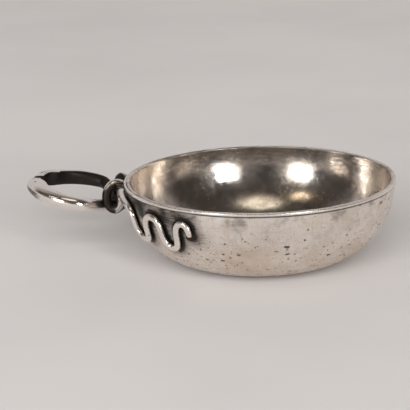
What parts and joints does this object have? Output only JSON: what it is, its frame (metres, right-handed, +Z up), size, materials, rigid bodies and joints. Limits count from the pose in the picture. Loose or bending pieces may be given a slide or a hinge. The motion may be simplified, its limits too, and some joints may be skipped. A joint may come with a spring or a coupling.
{
  "type": "tastevin",
  "caption": "Shallow round wine-tasting cup in worn silver with a rim wire and a finger ring of two serpents whose wavy tails lie on the wall.",
  "frame": {"origin": "centre of the flat base, on the table", "axes": "+Z up through the mouth, -X towards the finger ring, +Y towards the left serpent"},
  "size_m": [0.1108, 0.08, 0.0238],
  "materials": {
    "bowl_silver": "old hammered sheet silver, polished by use, with fine scratches, small pits and grey-brown tarnish",
    "serpent_silver": "smooth cast silver rod, polished by the finger, dark in the knot",
    "tail_silver": "flattened silver wire, bright on top, dark along its edges"
  },
  "bodies": {
    "root": {"bowl": "bowl_silver", "rim_wire": "bowl_silver", "right_head": "serpent_silver", "left_head": "serpent_silver", "right_body": "serpent_silver", "left_body": "serpent_silver", "right_tail": "tail_silver", "left_tail": "tail_silver"}
  },
  "joints": []
}
